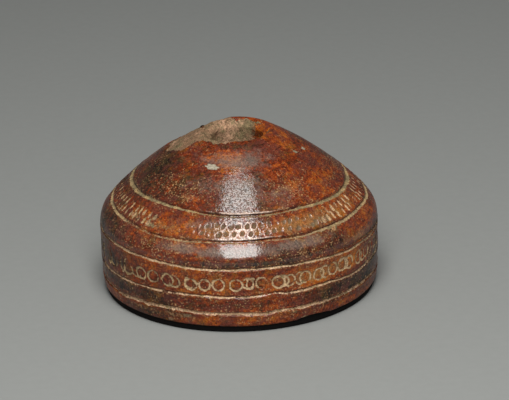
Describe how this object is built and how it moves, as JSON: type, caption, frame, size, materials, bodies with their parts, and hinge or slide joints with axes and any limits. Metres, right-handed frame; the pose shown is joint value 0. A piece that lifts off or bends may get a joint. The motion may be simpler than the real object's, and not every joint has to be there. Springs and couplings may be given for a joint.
{
  "type": "spindle whorl",
  "caption": "Low conical clay spindle whorl with a bore for the spindle, incised rings and a belt of stamped circles.",
  "frame": {"origin": "on the ground under the middle of the whorl, on the bore's axis at its flat underside", "axes": "+Z along the bore from the flat underside up to the crest, -Y the side that shows in front, +X to its right"},
  "size_m": [0.0378, 0.0378, 0.0219],
  "materials": {
    "burnished_slip": "burnished red-brown slip, mottled, worn at the top"
  },
  "bodies": {
    "root": {"whorl": "burnished_slip"}
  },
  "joints": []
}
